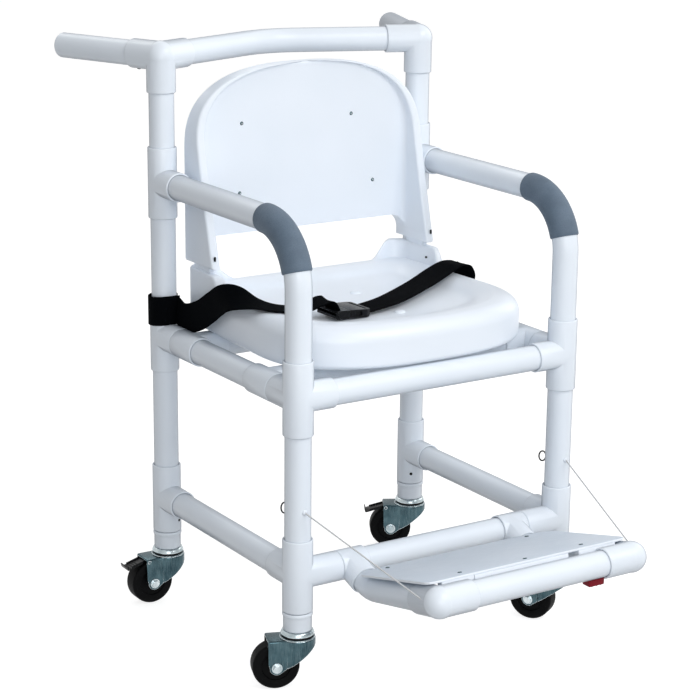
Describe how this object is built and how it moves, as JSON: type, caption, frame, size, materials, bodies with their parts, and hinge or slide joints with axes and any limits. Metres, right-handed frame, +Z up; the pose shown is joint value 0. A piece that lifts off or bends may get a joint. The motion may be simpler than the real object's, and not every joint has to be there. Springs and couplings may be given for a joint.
{
  "type": "transfer chair",
  "caption": "Plastic pipe transfer chair on swivel casters, with a moulded seat and back, bent armrests, push handles, a fold-up footrest and a lap belt.",
  "frame": {"origin": "on the floor, under the middle of the chair's overall box", "axes": "+Z up; the chair faces -Y, so its push handles point to +Y; +X to the right as seen from the front"},
  "size_m": [0.704, 0.9555, 0.9709],
  "materials": {
    "black_plastic": "moulded, satin",
    "black_tread": "solid tread, matt",
    "black_webbing": "woven webbing",
    "cord": "braided cord",
    "dark_red": "moulded, matt",
    "grey_plate": "sheet with a light grain",
    "slate_grip": "soft foam sleeve, matt",
    "white_moulded": "blow-moulded, fine satin texture",
    "white_pvc": "smooth extruded and moulded PVC, satin sheen",
    "zinc_plate": "zinc-plated pressed steel"
  },
  "bodies": {
    "chair": {"arm_grip_left": "slate_grip", "arm_grip_right": "slate_grip", "arm_tee_left": "white_pvc", "arm_tee_right": "white_pvc", "armrest_left": "white_pvc", "armrest_right": "white_pvc", "back_post_left": "white_pvc", "back_post_right": "white_pvc", "backrest": "white_moulded", "base_front_rail": "white_pvc", "base_side_rail_left": "white_pvc", "base_side_rail_right": "white_pvc", "belt_left": "black_webbing", "belt_right": "black_webbing", "buckle_socket": "black_plastic", "caster_stem_front_left": "zinc_plate", "caster_stem_front_right": "zinc_plate", "caster_stem_rear_left": "zinc_plate", "caster_stem_rear_right": "zinc_plate", "corner_fitting_left": "white_pvc", "corner_fitting_right": "white_pvc", "footrest_cord_left": "cord", "footrest_cord_right": "cord", "front_base_tee_left": "white_pvc", "front_base_tee_right": "white_pvc", "front_seat_rail": "white_pvc", "front_seat_tee_left": "white_pvc", "front_seat_tee_right": "white_pvc", "push_bar": "white_pvc", "push_handle_left": "white_pvc", "push_handle_right": "white_pvc", "rear_base_tee_left": "white_pvc", "rear_base_tee_right": "white_pvc", "rear_seat_tee_left": "white_pvc", "rear_seat_tee_right": "white_pvc", "seat": "white_moulded", "seat_side_rail_left": "white_pvc", "seat_side_rail_right": "white_pvc", "seat_support_front": "white_pvc", "seat_support_rear": "white_pvc"},
    "fork_front_left": {"caster_fork_front_left": "zinc_plate", "caster_axle_front_left": "zinc_plate"},
    "wheel_front_left": {"caster_wheel_front_left": "black_tread"},
    "fork_rear_left": {"caster_fork_rear_left": "zinc_plate", "caster_axle_rear_left": "zinc_plate"},
    "wheel_rear_left": {"caster_wheel_rear_left": "black_tread"},
    "brake_rear_left": {"brake_pedal_rear_left": "black_plastic"},
    "fork_front_right": {"caster_fork_front_right": "zinc_plate", "caster_axle_front_right": "zinc_plate"},
    "wheel_front_right": {"caster_wheel_front_right": "black_tread"},
    "fork_rear_right": {"caster_fork_rear_right": "zinc_plate", "caster_axle_rear_right": "zinc_plate"},
    "wheel_rear_right": {"caster_wheel_rear_right": "black_tread"},
    "brake_rear_right": {"brake_pedal_rear_right": "black_plastic"},
    "footrest": {"footrest_arm_left": "white_pvc", "footrest_arm_right": "white_pvc", "footrest_bar": "white_pvc", "footrest_plate": "grey_plate", "footrest_bumper": "dark_red"},
    "buckle_tongue": {"buckle_tongue": "black_plastic"}
  },
  "joints": [
    {"name": "swivel_front_left", "type": "hinge", "parent": "chair", "child": "fork_front_left", "pos_m": [-0.255, -0.1714, 0.083], "axis": [0, 0, 1], "continuous": true},
    {"name": "roll_front_left", "type": "hinge", "parent": "fork_front_left", "child": "wheel_front_left", "pos_m": [-0.28861, -0.1585, 0.038], "axis": [-0.3584, -0.9336, 0], "continuous": true},
    {"name": "swivel_rear_left", "type": "hinge", "parent": "chair", "child": "fork_rear_left", "pos_m": [-0.255, 0.2636, 0.083], "axis": [0, 0, 1], "continuous": true},
    {"name": "roll_rear_left", "type": "hinge", "parent": "fork_rear_left", "child": "wheel_rear_left", "pos_m": [-0.29099, 0.26423, 0.038], "axis": [-0.0174, -0.9998, 0], "continuous": true},
    {"name": "brake_rear_left", "type": "hinge", "parent": "fork_rear_left", "child": "brake_rear_left", "pos_m": [-0.30049, 0.2644, 0.0782], "axis": [-0.0174, -0.9998, 0], "range_deg": [0, 15]},
    {"name": "swivel_front_right", "type": "hinge", "parent": "chair", "child": "fork_front_right", "pos_m": [0.255, -0.1714, 0.083], "axis": [0, 0, 1], "continuous": true},
    {"name": "roll_front_right", "type": "hinge", "parent": "fork_front_right", "child": "wheel_front_right", "pos_m": [0.237, -0.14022, 0.038], "axis": [-0.866, -0.5, 0], "continuous": true},
    {"name": "swivel_rear_right", "type": "hinge", "parent": "chair", "child": "fork_rear_right", "pos_m": [0.255, 0.2636, 0.083], "axis": [0, 0, 1], "continuous": true},
    {"name": "roll_rear_right", "type": "hinge", "parent": "fork_rear_right", "child": "wheel_rear_right", "pos_m": [0.22382, 0.2816, 0.038], "axis": [-0.5, -0.866, 0], "continuous": true},
    {"name": "brake_rear_right", "type": "hinge", "parent": "fork_rear_right", "child": "brake_rear_right", "pos_m": [0.2156, 0.28635, 0.0782], "axis": [-0.5, -0.866, 0], "range_deg": [0, 15]},
    {"name": "footrest_fold", "type": "hinge", "parent": "chair", "child": "footrest", "pos_m": [0, -0.1714, 0.186], "axis": [-1, 0, 0], "range_deg": [0, 73], "deforming": ["footrest_cord_left", "footrest_cord_right"]},
    {"name": "buckle_release", "type": "slide", "parent": "chair", "child": "buckle_tongue", "axis": [-0.9962, -0.0522, 0.0698], "range_m": [0, 0.026], "deforming": ["belt_left"]}
  ]
}
